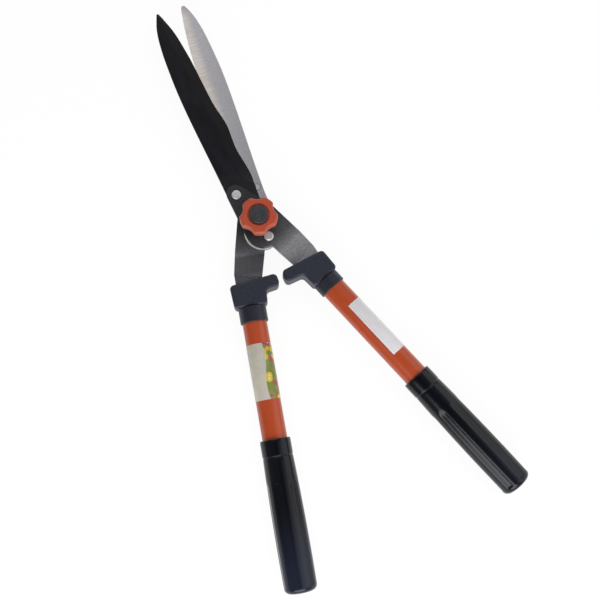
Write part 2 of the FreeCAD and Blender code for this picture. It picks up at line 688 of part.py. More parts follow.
# Tension knob: head with five round lobes on a boss, nut pressed in from below, cap pressed in from above
def hexagon(across):
    """Corners of a hexagon from its size across the flats."""
    pitch = 360 / HEXAGON_SIDES
    reach = f"({across}) / 2 / cos({pitch / 2})"
    return [(f"{reach} * cos({pitch * step})", f"{reach} * sin({pitch * step})")
            for step in range(HEXAGON_SIDES)]


KNOB_PLACE = f"placement(vector(0; 0; {PIVOT_HEIGHT}); rotation(vector(0; 0; 1); knob_turn))"
knob = new_body("tension_knob", KNOB_PLACE)
disc = new_sketch(knob, "disc", offset=HEAD_FLOOR)
draw_circle(disc, "0", "0", "knob_radius")
add_pad(knob, disc, "knob_height", "disc_pad")
notch = new_sketch(knob, "notch", offset=f"{HEAD_FLOOR} - overrun")
spot = "knob_notch_radius + notch_cutter_radius"
half_pitch = 180 / LOBES
draw_circle(notch, f"({spot}) * cos({half_pitch})", f"({spot}) * sin({half_pitch})", "notch_cutter_radius")
notch_cut = add_pocket(knob, notch, "knob_height + 2 * overrun", "notch_cut")
doc.recompute()
add_polar(knob, notch_cut, "Z_Axis", LOBES, "notches")
doc.recompute()
knob_top = size(KNOB_TOP)
uprights = find_edges(knob.Tip.Shape, lambda p: math.hypot(p.x, p.y) > size("knob_radius") - TOLERANCE)
uprights = [name for name in uprights
            if abs(knob.Tip.Shape.getElement(name).BoundBox.ZLength - size("knob_height")) < TOLERANCE]
add_fillet(knob, knob.Tip, uprights, "knob_corner", "lobe_corners")
doc.recompute()
rim = find_edges(knob.Tip.Shape, lambda p: abs(p.z - knob_top) < TOLERANCE)
add_fillet(knob, knob.Tip, rim, "knob_rim", "upper_rim")
boss = new_sketch(knob, "boss", offset=KNOB_FLOOR)
draw_circle(boss, "0", "0", "boss_radius")
add_pad(knob, boss, "boss_height", "boss_pad")
seat = new_sketch(knob, "cap_seat", offset=f"{KNOB_TOP} - cap_recess")
draw_circle(seat, "0", "0", "cap_radius + seat_fit")
add_pocket(knob, seat, "cap_recess + overrun", "cap_cut")
groove = new_sketch(knob, "cap_groove", offset=f"{KNOB_TOP} - groove_depth")
draw_circle(groove, "0", "0", "cap_radius + cap_groove")
add_pocket(knob, groove, "groove_depth + overrun", "groove_cut")
nut_seat = new_sketch(knob, "nut_seat", offset=f"{KNOB_FLOOR} - overrun")
draw_polygon(nut_seat, hexagon("nut_flats + 2 * seat_fit"))
add_pocket(knob, nut_seat, "nut_height + overrun", "nut_cut")
bolt_way = new_sketch(knob, "bolt_way", offset=f"{KNOB_FLOOR} - overrun")
draw_circle(bolt_way, "0", "0", "thread_diameter / 2 + knob_gap")
add_pocket(knob, bolt_way, "boss_height + knob_height + overrun", "bolt_cut")

nut = new_body("knob_nut", KNOB_PLACE)
nut_plan = new_sketch(nut, "plan", offset=KNOB_FLOOR)
draw_polygon(nut_plan, hexagon("nut_flats"))
draw_circle(nut_plan, "0", "0", "thread_diameter / 2 + running_fit")
add_pad(nut, nut_plan, "nut_height", "nut_pad")

cap = upright_piece("knob_cap", KNOB_PLACE, [
    ("0", f"{KNOB_TOP} - cap_recess"),
    ("cap_radius", f"{KNOB_TOP} - cap_recess"),
    ("cap_radius", f"{KNOB_TOP} + cap_dome"),
    ("0", f"{KNOB_TOP} + cap_dome"),
])
doc.recompute()
cap_top = size(f"{KNOB_TOP} + cap_dome")
cap_rim = find_edges(cap.Tip.Shape, lambda p: abs(p.z - cap_top) < TOLERANCE
                     and math.hypot(p.x, p.y) > TOLERANCE)
add_fillet(cap, cap.Tip, cap_rim, "cap_dome", "dome")


# Stop blocks: moulded tee over the end of each arm, its nub meets the other one when closed
def axis_x(side, y):
    """Half-frame place of the handle line at a distance along the blade line."""
    return f"({elbow_x(side)} + ({elbow_y(side)} - ({y})) * tan({side}_handle_angle))"


def handle_point(side, along, across):
    """Half-frame point at a distance from the elbow along and across the handle line."""
    x = f"({elbow_x(side)} + ({along}) * sin({side}_handle_angle) + ({across}) * cos({side}_handle_angle))"
    y = f"({elbow_y(side)} - ({along}) * cos({side}_handle_angle) + ({across}) * sin({side}_handle_angle))"
    return x, y


def nub_face(side, y):
    """Half-frame place of the nub's end: the two ends lie flat on each other when closed."""
    if side == "front":
        return "(stop_gap / 2 - nub_reach)"
    turn = "(closing_angle - rest_opening)"
    return f"((stop_gap / 2 + nub_reach) / cos({turn}) - ({y}) * tan({turn}))"


def make_stop(side):
    body = new_body(f"{side}_stop_block", half_placement(side))
    top = f"(-{STOP_TOP})"
    nub_high = f"({top} - stop_slant)"
    nub_low = f"({nub_high} - nub_width)"
    inner = f"({side}_stop_inner + stop_taper / 2)"
    outline = [
        (f"{axis_x(side, top)} + {side}_stop_outer / cos({side}_handle_angle)", top),
        (nub_face(side, nub_high), nub_high),
        (nub_face(side, nub_low), nub_low),
        (f"{axis_x(side, nub_low)} - {inner} / cos({side}_handle_angle)", nub_low),
        handle_point(side, "stop_end", f"-{side}_stop_inner"),
        handle_point(side, "stop_end", f"{side}_stop_outer - stop_taper"),
    ]
    plan = new_sketch(body, "plan", offset="-stop_thickness / 2")
    draw_polygon(plan, outline)
    add_pad(body, plan, "stop_thickness", "block")
    doc.recompute()
    height = size("stop_thickness")
    corners = [f"Edge{index}" for index, edge in enumerate(body.Tip.Shape.Edges, 1)
               if abs(edge.BoundBox.ZLength - height) < TOLERANCE]
    add_fillet(body, body.Tip, corners, "stop_corner", "corners")
    doc.recompute()
    rims = find_edges(body.Tip.Shape, lambda p: abs(abs(p.z) - height / 2) < TOLERANCE)
    add_fillet(body, body.Tip, rims, "stop_rim", "rims")
    slot = new_sketch(body, "slot", offset="-lever_thickness / 2 - slot_clearance")
    bind(slot, "AttachmentOffset.Rotation.Angle", f"{side}_lever_angle")
    draw_polygon(slot, tail_outline(side, "slot_clearance"))
    add_pocket(body, slot, "lever_thickness + 2 * slot_clearance", "slot_cut")


for side in SIDES:
    make_stop(side)


# Handles: collar, tube, filler, cross pin, grip, plug and label on the handle line
GRIP_START = "(stop_end + grip_start)"
GRIP_END = f"({GRIP_START} + grip_length)"


def make_collar(side):
    outside = "tube_diameter / 2 + collar_wall"
    reach = f"stop_end + {side}_collar_length"
    body = turned_piece(f"{side}_collar", handle_placement(side), rectangle(
        "tube_diameter / 2 + seat_fit", outside, "stop_end", reach))
    doc.recompute()
    end = size(reach)
    radius = size(outside)
    rim = find_edges(body.Tip.Shape, lambda p: abs(p.y - end) < TOLERANCE
                     and abs(math.hypot(p.x, p.z) - radius) < TOLERANCE)
    add_fillet(body, body.Tip, rim, "collar_rim", "rim")


def pin_cut(body):
    """Cross hole for the pin, square to the plane of the handles."""
    sketch = new_sketch(body, "pin_hole", offset="-tube_diameter / 2 - overrun")
    draw_circle(sketch, "0", "pin_reach", "pin_diameter / 2 + seat_fit")
    add_pocket(body, sketch, "tube_diameter + 2 * overrun", "pin_cut")


def make_tube(side):
    body = turned_piece(f"{side}_tube", handle_placement(side), rectangle(
        "tube_diameter / 2 - tube_wall", "tube_diameter / 2", "stop_end", f"{TUBE_END} - plug_flange"))
    pin_cut(body)


def make_insert(side):
    radius = "tube_diameter / 2 - tube_wall - seat_fit"
    body = turned_piece(f"{side}_tube_filler", handle_placement(side), [
        ("0", "stop_end"),
        (radius, "stop_end"),
        (radius, "stop_end + insert_length"),
        ("0", "stop_end + insert_length"),
    ])
    slot = new_sketch(body, "slot", offset="-lever_thickness / 2 - seat_fit")
    half = "tang_width / 2 + seat_fit"
    draw_polygon(slot, rectangle(f"-({half})", half, "stop_end - overrun", "tang_length + seat_fit"))
    add_pocket(body, slot, "lever_thickness + 2 * seat_fit", "slot_cut")
    pin_cut(body)


def make_pin(side):
    body = new_body(f"{side}_cross_pin", handle_placement(side))
    sketch = new_sketch(body, "section", offset="-tube_diameter / 2 + pin_setback")
    draw_circle(sketch, "0", "pin_reach", "pin_diameter / 2")
    add_pad(body, sketch, "tube_diameter - 2 * pin_setback", "pin")


def flute_sketch(body, name, floor, slope):
    """Sketch on the floor of a flute, which climbs towards the closed end."""
    sketch = new_sketch(body, name, offset=floor)
    sketch.AttachmentOffset = FreeCAD.Placement(Vector(), FreeCAD.Rotation(Vector(1, 0, 0), 1))
    bind(sketch, "AttachmentOffset.Rotation.Angle", f"atan({slope})")
    return sketch


def make_grip(side):
    bore = "tube_diameter / 2 + seat_fit"
    band = "tube_diameter / 2 + band_wall"
    neck = "tube_diameter / 2 + grip_neck_wall"
    end = "tube_diameter / 2 + grip_end_thickness"
    turn = f"placement(vector(0; 0; 0); rotation(vector(0; 1; 0); {side}_grip_turn))"
    outline = [
        (bore, GRIP_START),
        (band, GRIP_START),
        (band, f"{GRIP_START} + grip_band"),
        (neck, f"{GRIP_START} + grip_band"),
        (end, f"{GRIP_END} - grip_end_round"),
        (f"{end} - grip_end_round", GRIP_END),
        ("0", GRIP_END),
        ("0", f"{GRIP_END} - grip_end_wall"),
        (bore, f"{GRIP_END} - grip_end_wall"),
    ]
    bulges = {3: "grip_bulge", 4: "grip_end_round * (1 - cos(45))"}
    body = turned_piece(f"{side}_grip", f"{handle_placement(side)} * {turn}", outline, bulges)
    doc.recompute()
    start = f"({GRIP_START} + grip_band + flute_start)"
    slope = f"((flute_end_wall - flute_wall) / ({GRIP_END} - {start}))"
    floor = f"(tube_diameter / 2 + flute_wall - {start} * {slope})"
    strip = flute_sketch(body, "flute", floor, slope)
    draw_polygon(strip, rectangle("-flute_width / 2", "flute_width / 2", f"{start} + flute_width / 2",
                                  f"{GRIP_END} + overrun"))
    straight = add_pocket(body, strip, "grip_end_thickness + overrun", "flute_cut")
    doc.recompute()
    crown = flute_sketch(body, "flute_end", floor, slope)
    draw_circle(crown, "0", f"{start} + flute_width / 2", "flute_width / 2")
    rounded = add_pocket(body, crown, "grip_end_thickness + overrun", "flute_end_cut")
    doc.recompute()
    pattern = add_polar(body, straight, "Y_Axis", FLUTES, "flutes")
    pattern.Originals = [straight, rounded]


def make_plug(side):
    inner = "tube_diameter / 2 - tube_wall - seat_fit"
    turned_piece(f"{side}_tube_plug", handle_placement(side), [
        ("0", f"{TUBE_END} - plug_flange - plug_length"),
        (inner, f"{TUBE_END} - plug_flange - plug_length"),
        (inner, f"{TUBE_END} - plug_flange"),
        ("tube_diameter / 2", f"{TUBE_END} - plug_flange"),
        ("tube_diameter / 2", TUBE_END),
        ("0", TUBE_END),
    ])


def make_label(side):
    turn = f"placement(vector(0; 0; 0); rotation(vector(0; 1; 0); {side}_label_turn))"
    body = new_body(f"{side}_label", f"{handle_placement(side)} * {turn}")
    sketch = new_sketch(body, "section")
    start = f"stop_end + {side}_label_start"
    draw_polygon(sketch, rectangle(
        "tube_diameter / 2 + seat_fit", "tube_diameter / 2 + seat_fit + label_thickness",
        start, f"{start} + {side}_label_length"))
    turned = add_revolution(body, sketch, "wrap", angle=f"{side}_label_wrap")
    turned.Midplane = True


for side in SIDES:
    make_collar(side)
    make_tube(side)
    make_insert(side)
    make_pin(side)
    make_grip(side)
    make_plug(side)
    make_label(side)

doc.recompute()

PIECES = [item for item in doc.Objects
          if item.isDerivedFrom("PartDesign::Body") or item.TypeId == "Part::Feature"]
for item in doc.Objects:
    if "Invalid" in item.State or "Error" in item.State:
        raise RuntimeError(f"{item.Name} did not compute: {item.State}")
for item in PIECES:
    if item.Shape.isNull() or not item.Shape.isValid() or len(item.Shape.Solids) != 1:
        raise RuntimeError(f"{item.Label} is not one valid solid")

os.makedirs("parts", exist_ok=True)
for item in PIECES:
    item.Shape.exportStep(f"parts/{item.Label}.step")
    box = item.Shape.BoundBox
    print(f"{item.Label}: volume {item.Shape.Volume:.0f} mm3, "
          f"{box.XLength:.1f} x {box.YLength:.1f} x {box.ZLength:.1f} mm")
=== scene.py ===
import json
import math

import bpy
from mathutils import Matrix, Vector

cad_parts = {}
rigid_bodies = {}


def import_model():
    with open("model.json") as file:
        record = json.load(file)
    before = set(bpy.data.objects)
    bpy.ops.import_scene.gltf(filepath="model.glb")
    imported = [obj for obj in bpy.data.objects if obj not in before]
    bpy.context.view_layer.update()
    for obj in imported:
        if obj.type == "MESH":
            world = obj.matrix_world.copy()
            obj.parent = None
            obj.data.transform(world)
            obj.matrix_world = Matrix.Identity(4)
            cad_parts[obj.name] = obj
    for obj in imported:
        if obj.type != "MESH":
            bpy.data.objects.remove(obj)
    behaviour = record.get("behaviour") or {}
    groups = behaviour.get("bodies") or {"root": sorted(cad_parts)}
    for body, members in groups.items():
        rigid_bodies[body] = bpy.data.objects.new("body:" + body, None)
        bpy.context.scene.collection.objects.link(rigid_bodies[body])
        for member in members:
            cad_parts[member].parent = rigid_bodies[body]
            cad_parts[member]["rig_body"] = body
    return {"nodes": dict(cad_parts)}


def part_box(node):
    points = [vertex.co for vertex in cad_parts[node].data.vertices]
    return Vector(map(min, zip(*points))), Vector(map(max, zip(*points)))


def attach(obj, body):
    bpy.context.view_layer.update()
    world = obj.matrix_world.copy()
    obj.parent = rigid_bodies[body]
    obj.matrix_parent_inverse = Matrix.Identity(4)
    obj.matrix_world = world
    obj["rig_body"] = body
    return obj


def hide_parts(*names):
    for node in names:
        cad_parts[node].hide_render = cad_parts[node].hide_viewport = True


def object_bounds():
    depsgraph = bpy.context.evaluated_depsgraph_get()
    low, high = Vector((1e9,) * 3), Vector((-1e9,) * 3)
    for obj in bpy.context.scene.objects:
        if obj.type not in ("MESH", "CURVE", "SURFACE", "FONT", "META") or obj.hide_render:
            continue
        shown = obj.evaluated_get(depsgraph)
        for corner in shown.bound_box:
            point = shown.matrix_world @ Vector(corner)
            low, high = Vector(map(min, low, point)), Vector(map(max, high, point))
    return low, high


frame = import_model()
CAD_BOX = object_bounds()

bl_info = {
    "name": "Hedge Shears",
    "version": (1, 0, 0),
    "blender": (4, 5, 0),
    "location": "3D View > Sidebar > Shears",
    "description": "Dresses the packed hedge shears: finishes, fluted grips, labels and a studio",
    "category": "Object",
}

MM = 0.001
SIDES = ("front", "rear")


def linear(code):
    """Linear colour from an sRGB hex code."""
    steps = [int(code[place:place + 2], 16) / 255 for place in (1, 3, 5)]
    return [step / 12.92 if step <= 0.04045 else ((step + 0.055) / 1.055) ** 2.4
            for step in steps]


# Settings
def colour(name, description, code):
    return bpy.props.FloatVectorProperty(
        name=name, description=description, default=linear(code), subtype="COLOR", min=0, max=1)


def length(name, description, millimetres):
    return bpy.props.FloatProperty(
        name=name, description=description, default=millimetres * MM, subtype="DISTANCE",
        unit="LENGTH")


def angle(name, description, degrees):
    return bpy.props.FloatProperty(
        name=name, description=description, default=math.radians(degrees), subtype="ANGLE",
        unit="ROTATION")


def power(name, description, watts):
    return bpy.props.FloatProperty(
        name=name, description=description, default=watts, min=0, unit="POWER")


class ShearsColours(bpy.types.PropertyGroup):
    coating: colour("Coating", "Baked coating of the front blade", "#101019")
    # Also painted light: the front blade's heel is drawn in this paler colour to lift its shade
    thin_coating_and_heel_light: colour("Coating, thin", "Coating where it is thin, round the heel", "#2b2b30")
    ground: colour("Ground steel", "Bare steel of the rear blade", "#cfcdd2")
    ground_warm: colour("Ground steel, warm", "Bare steel beside the cutting edge", "#fdf4ef")
    lacquer: colour("Lever lacquer", "Dark grey lacquer of the levers", "#5f6065")
    # Painted reflection: the lit colour of the front lever past the crank's first bend
    painted_lever_sheen: colour("Rubbed lever", "Front lever where its lacquer is rubbed", "#98989c")
    rivet: colour("Rivets", "Bright zinc of the rivets and the pivot bolt", "#dddde0")
    brass: colour("Bush", "Turned brass of the pivot bush", "#b08d4a")
    orange_paint: colour("Tube paint", "Orange enamel of the tubes", "#b8481e")
    knob: colour("Knob", "Orange moulding of the tension knob", "#bc4a2e")
    # Painted highlight of the knob's rim and walls
    knob_highlight: colour("Knob rim", "Paler orange of the knob's rubbed rim and walls", "#c06a52")
    cap: colour("Cap", "Grey moulding in the middle of the knob", "#35363b")
    stop: colour("Stop blocks", "Dark moulding of stop blocks and collars", "#232737")
    filler: colour("Fillers", "Black moulding of the pieces inside the tubes", "#1d1d1f")
    grip: colour("Grips", "Glossy dark moulding of the grips", "#080a12")
    cream_label: colour("Cream label", "Ground of the rear handle's label", "#c4beaa")
    white_label: colour("White label", "Ground of the front handle's label", "#eae7eb")


class ShearsGrips(bpy.types.PropertyGroup):
    flutes: bpy.props.IntProperty(
        name="Flutes", description="Flutes round each grip", default=6, min=3)
    grip_length: length("Length", "Mouth of the grip to its closed end", 141.5)
    bore: length("Bore", "Radius of the grip's bore over the tube", 12.25)
    band: length("Band", "Length of the plain band at the mouth", 16)
    band_radius: length("Band radius", "Radius of the plain band", 14.85)
    neck_radius: length("Neck radius", "Radius just past the band", 14.6)
    end_radius: length("End radius", "Radius near the closed end", 15.7)
    bulge: length("Bulge", "Rise of the side over a straight taper", 0.8)
    flute_start: length("Flute start", "Mouth of the grip to the flutes' upper ends", 40)
    flute_depth: length("Flute depth", "Depth of a flute", 0.8)
    flute_slope: length("Flute slope", "Width of the slope round a flute's floor", 1.7)
    front_turn: angle("Front turn", "Turn of the front grip's flutes", 38)
    rear_turn: angle("Rear turn", "Turn of the rear grip's flutes", 20)
    # Painted light: how much paler each grip is drawn towards its closed end
    front_bloom: bpy.props.FloatProperty(
        name="Front bloom", description="How much paler the front grip's closed end is",
        default=2.2, min=0)
    rear_bloom: bpy.props.FloatProperty(
        name="Rear bloom", description="How much paler the rear grip's closed end is",
        default=5, min=0)


class ShearsLabels(bpy.types.PropertyGroup):
    radius: length("Radius", "Inner face of a label round the tube", 12.12)
    thickness: length("Thickness", "Thickness of the film", 0.15)
    edge: length("Edge", "Width of the softened edge of the film", 0.04)
    front_wrap: angle("Front wrap", "How far the front label goes round the tube", 144)
    rear_wrap: angle("Rear wrap", "How far the rear label goes round the tube", 300)
    front_turn: angle("Front turn", "Middle of the front label round the tube", -143)
    rear_turn: angle("Rear turn", "Middle of the rear label round the tube", 90)


class ShearsStage(bpy.types.PropertyGroup):
    focal_length: bpy.props.FloatProperty(
        name="Focal length", description="Camera lens in millimetres", default=49.5, min=10)
    camera_place: bpy.props.FloatVectorProperty(
        name="Camera place", description="Where the camera stands",
        default=(-0.07648, -0.21601, 0.81002), subtype="TRANSLATION", unit="LENGTH")
    camera_turn: bpy.props.FloatVectorProperty(
        name="Camera turn", description="How the camera is turned",
        default=[math.radians(turn) for turn in (10.56, -2.07, -22.58)],
        subtype="EULER", unit="ROTATION")
    floor_drop: length("Floor drop", "Gap between the shears and the floor", 0.3)
    key_power: power("Key lamp", "Power of the large lamp beyond the handles", 6)
    side_power: power("Side lamp", "Power of the lamp to the right", 3)


# Places of the handles and the blades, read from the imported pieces
def middle(node):
    low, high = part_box(node)
    return (low + high) / 2


def handle_place(side):
    """Frame of a handle: origin in the middle of its tube, Y away from the blades, and Z up for
    the front handle and down for the rear one."""
    centre = middle(f"{side}_tube")
    along = (centre - middle(f"{side}_cross_pin")).normalized()
    up = Vector((0, 0, 1 if side == "front" else -1))
    turn = Matrix((along.cross(up), along, up)).transposed()
    return Matrix.Translation(centre) @ turn.to_4x4()


def blade_place(side):
    """Frame of a blade: pivot at the origin, tip on Y."""
    places = [vertex.co for vertex in frame["nodes"][f"{side}_blade"].data.vertices]
    tip = max(places, key=lambda place: place.length)
    return Matrix.Rotation(math.atan2(-tip.x, tip.y), 4, "Z")


# Shared steps of the materials
def add_node(tree, kind, settings=(), inputs=()):
    """Add one shader node with its settings and its values or links."""
    node = tree.nodes.new(f"ShaderNode{kind}")
    for name, value in dict(settings).items():
        setattr(node, name, value)
    for socket, value in dict(inputs).items():
        if isinstance(value, bpy.types.NodeSocket):
            tree.links.new(value, node.inputs[socket])
        else:
            node.inputs[socket].default_value = value
    return node


def start_material(name, tint, roughness=0.5, metallic=0.0, ior=1.5):
    """New material, its tree and its shader. A metal keeps the shader's own IOR."""
    material = bpy.data.materials.new(name)
    material.use_nodes = True
    material.diffuse_color = (*tint, 1)
    shader = material.node_tree.nodes["Principled BSDF"]
    shader.inputs["Base Color"].default_value = (*tint, 1)
    shader.inputs["Roughness"].default_value = roughness
    shader.inputs["Metallic"].default_value = metallic
    if not metallic:
        shader.inputs["IOR"].default_value = ior
    return material, material.node_tree, shader


def millimetres(tree, place=Matrix()):
    """Object coordinates in millimetres, in a piece's own frame."""
    coordinates = add_node(tree, "TexCoord")
    mapping = add_node(tree, "Mapping", {"vector_type": "TEXTURE"}, {
        "Vector": coordinates.outputs["Object"],
        "Location": place.translation,
        "Rotation": place.to_euler(),
        "Scale": (MM, MM, MM),
    })
    return mapping.outputs["Vector"]


def axes(tree, vector):
    """The X, Y and Z of a vector."""
    return add_node(tree, "SeparateXYZ", {}, {"Vector": vector}).outputs


def facing_up(tree):
    """How far a surface faces the object's own Z, from 1 to -1."""
    return axes(tree, add_node(tree, "TexCoord").outputs["Normal"])["Z"]


def compute(tree, operation, *values):
    """One step of arithmetic on values."""
    return add_node(tree, "Math", {"operation": operation}, enumerate(values)).outputs["Value"]


def compute_vector(tree, operation, *vectors):
    """One step of arithmetic on vectors. LENGTH and DOT_PRODUCT give a value."""
    node = add_node(tree, "VectorMath", {"operation": operation}, enumerate(vectors))
    return node.outputs["Value" if operation in ("LENGTH", "DOT_PRODUCT") else "Vector"]


def remap(tree, value, low, high, to_low=0.0, to_high=1.0, smooth=False):
    """Map low to high onto to_low to to_high, and hold the ends beyond them."""
    node = add_node(tree, "MapRange", {
        "interpolation_type": "SMOOTHSTEP" if smooth else "LINEAR"}, {
        "Value": value, "From Min": low, "From Max": high, "To Min": to_low, "To Max": to_high})
    return node.outputs["Result"]


# Sockets of the mix node for each kind: the two inputs, and the output
MIX_SOCKETS = {"FLOAT": (2, 3, 0), "RGBA": (6, 7, 2)}


def blend(tree, share, first, second, kind="RGBA"):
    """Blend two colours, or two values where the kind is FLOAT."""
    start, end, result = MIX_SOCKETS[kind]
    node = add_node(tree, "Mix", {"data_type": kind}, {0: share, start: first, end: second})
    return node.outputs[result]


def scaled(tree, tint, factor):
    """A colour times a value."""
    node = add_node(tree, "VectorMath", {"operation": "SCALE"}, {0: tint, "Scale": factor})
    return node.outputs["Vector"]


def colour_ramp(tree, share, stops):
    """Colours along a share, from pairs of position and colour."""
    node = add_node(tree, "ValToRGB", {}, {"Fac": share})
    elements = node.color_ramp.elements
    elements.remove(elements[1])
    elements[0].position, elements[0].color = stops[0]
    for position, tint in stops[1:]:
        elements.new(position).color = tint
    return node.outputs["Color"]


def noise(tree, where, periods, detail, roughness=0.5):
    """Noise whose lumps are as wide as one length in millimetres, or three for X, Y and Z."""
    if not isinstance(periods, tuple):
        periods = (periods, periods, periods)
    vector = compute_vector(tree, "MULTIPLY", where, [1 / period for period in periods])
    node = add_node(tree, "TexNoise", {}, {
        "Vector": vector, "Scale": 1, "Detail": detail, "Roughness": roughness})
    return node.outputs["Fac"]


def connect(tree, shader, outputs):
    """Link outputs to the shader's inputs."""
    for socket, output in outputs.items():
        tree.links.new(output, shader.inputs[socket])


def emboss(tree, shader, height, strength, depth):
    """Raise a pattern off the surface by a depth in millimetres."""
    bump = add_node(tree, "Bump", {}, {
        "Height": height, "Strength": strength, "Distance": depth * MM})
    connect(tree, shader, {"Normal": bump.outputs["Normal"]})


def shade(tint, factor):
    """A darker or paler tint, with its alpha."""
    return (*[min(part * factor, 1) for part in tint], 1)


def dress(material, *nodes):
    """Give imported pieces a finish."""
    for name in nodes:
        slots = frame["nodes"][name].data.materials
        slots.clear()
        slots.append(material)


# Steel
def baked_nonstick_coating(tint, thin, place):
    """Sprayed and baked fluoropolymer: bluish black, satin, with a faint orange peel and a cloudy
    film that is thinner, and so paler, on the bevel. Round the heel it is paler too, with painted
    light that lifts the shade there."""
    material, tree, shader = start_material("baked_nonstick_coating", tint, ior=1.31)
    where = millimetres(tree, place)
    cloud = noise(tree, where, (14, 40, 14), detail=3, roughness=0.6)
    film = blend(tree, remap(tree, cloud, 0.35, 0.65), shade(tint, 0.35), shade(tint, 1.4))
    # The flat faces point along Z; the bevel leans by a few degrees
    bevel = remap(tree, compute(tree, "ABSOLUTE", facing_up(tree)), 0.99, 0.999, 1, 0)
    film = blend(tree, bevel, film, shade(thin, 0.3))
    # Painted light: the heel is drawn paler over the last 62 to 28 mm before the pivot, lifting
    # the shade that the lever and knob cast there
    heel = remap(tree, axes(tree, where)["Y"], 62, 28)
    film = blend(tree, heel, film, shade(thin, 1))
    connect(tree, shader, {
        "Base Color": film, "Roughness": remap(tree, cloud, 0, 1, 0.34, 0.5)})
    # The real orange peel is about 0.4 mm; drawn at 1.5 mm so that it shows
    emboss(tree, shader, noise(tree, where, 1.5, detail=2), strength=0.35, depth=0.4)
    return material


def cross_ground_steel(tint, warm, place):
    """Hardened steel, ground square to the cutting edge: fine lines in a brighter, warmer band
    beside the edge, and an even satin grain towards the back."""
    material, tree, shader = start_material("cross_ground_steel", tint, metallic=1.0)
    where = millimetres(tree, place)
    across, along = axes(tree, where)["X"], axes(tree, where)["Y"]
    steel = colour_ramp(tree, remap(tree, across, -10.5, 17), (
        (0, shade(warm, 1)), (0.3, shade(warm, 0.9)), (0.52, shade(tint, 1)),
        (1, shade(tint, 0.92))))
    # Grit lines are some 0.05 mm apart; drawn 0.7 mm apart so that they show
    lines = noise(tree, where, (16, 0.7, 16), detail=4, roughness=0.7)
    # The satin grain is finer than 0.1 mm; drawn at 1.1 mm so that it shows
    grain = noise(tree, where, 1.1, detail=3, roughness=0.7)
    band = remap(tree, across, 0, 8, 1, 0)
    pattern = blend(tree, band, grain, lines, "FLOAT")
    # Painted highlight: the round heel is drawn near white and hardly metallic
    heel = remap(tree, along, -6, 6, 1, 0)
    steel = blend(tree, heel, steel, (1, 1, 1, 1))
    # The last few millimetres of the tip miss the wheel and stay darker
    tip = remap(tree, along, 238, 247, 1, 0.72)
    light = compute(tree, "MULTIPLY", remap(tree, pattern, 0.3, 0.7, 0.8, 1.1), tip)
    connect(tree, shader, {
        "Base Color": scaled(tree, steel, light),
        "Metallic": remap(tree, heel, 0, 1, 1, 0.1),
        "Roughness": remap(tree, pattern, 0.25, 0.75, 0.46, 0.34)})
    emboss(tree, shader, pattern, strength=0.1, depth=0.3)
    return material


def lacquered_plate(tint, lit, bend, place, name):
    """Rolled steel plate under thin dark lacquer: the metal gleams through a speckled grain. The
    lacquer is darker towards the nose, and from the crank's first bend to the stop block it is
    drawn lighter as a painted reflection, with the bend's own painted light."""
    material, tree, shader = start_material(name, tint, metallic=0.75)
    where = millimetres(tree, place)
    # Rolling grain is finer than 0.1 mm; drawn at 1.2 mm so that it shows
    grain = noise(tree, where, 1.2, detail=2, roughness=0.6)
    # Share of the way from the nose to the tang, by the distance from the tube's middle
    way = remap(tree, axes(tree, where)["Y"], -220, -160)
    # Darker towards the nose; past 0.56 the lit colour is a painted reflection of the crank's
    # slope, and the bend's own painted light sits at 0.56
    lacquer = colour_ramp(tree, way, (
        (0.1, shade(tint, 0.5)), (0.4, shade(tint, 1.05)), (0.56, shade(lit, bend)),
        (0.61, shade(lit, 1)), (0.88, shade(lit, 0.98)), (0.95, shade(lit, 1.35))))
    speckle = remap(tree, grain, 0.35, 0.65, 0.8, 1.2)
    connect(tree, shader, {"Base Color": scaled(tree, lacquer, speckle)})
    emboss(tree, shader, grain, strength=0.12, depth=0.4)
    return material


def bright_zinc(tint, name):
    """Zinc plated steel, headed and barrelled: bright, with soft dents that break up the
    highlight."""
    material, tree, shader = start_material(name, tint, roughness=0.36, metallic=0.5)
    dents = noise(tree, millimetres(tree), 1.6, detail=2)
    zinc = blend(tree, dents, shade(tint, 0.8), shade(tint, 1.15))
    connect(tree, shader, {"Base Color": zinc})
    emboss(tree, shader, dents, strength=0.25, depth=0.5)
    return material


def turned_brass(tint):
    """Turned brass: yellow, with fine rings from the tool."""
    material, tree, shader = start_material("turned_brass", tint, roughness=0.3, metallic=1.0)
    rings = noise(tree, millimetres(tree), (8, 8, 0.3), detail=2)
    emboss(tree, shader, rings, strength=0.3, depth=0.2)
    return material


def tube_enamel(tint, place, name):
    """Stoved enamel on drawn steel tube: orange, glossy, with the faint ripple of a dipped
    coat."""
    material, tree, shader = start_material(name, tint, roughness=0.34)
    shader.inputs["Coat Weight"].default_value = 0.2
    shader.inputs["Coat Roughness"].default_value = 0.12
    ripple = noise(tree, millimetres(tree, place), (5, 30, 5), detail=2)
    enamel = blend(tree, ripple, shade(tint, 0.9), shade(tint, 1.1))
    connect(tree, shader, {"Base Color": enamel})
    emboss(tree, shader, ripple, strength=0.05, depth=0.5)
    return material


# Mouldings
def grained_moulding(tint, name, roughness, grain, relief, contrast=0.18):
    """Injection moulded nylon from a spark eroded mould: an even satin grain with no direction."""
    material, tree, shader = start_material(name, tint, roughness)
    # Spark erosion leaves pits of 0.1 mm; drawn larger so that they show
    pits = noise(tree, millimetres(tree), grain, detail=3, roughness=0.65)
    nylon = blend(tree, remap(tree, pits, 0.3, 0.7), shade(tint, 1 - contrast),
                  shade(tint, 1 + contrast))
    connect(tree, shader, {"Base Color": nylon})
    emboss(tree, shader, pits, strength=relief, depth=0.4)
    return material


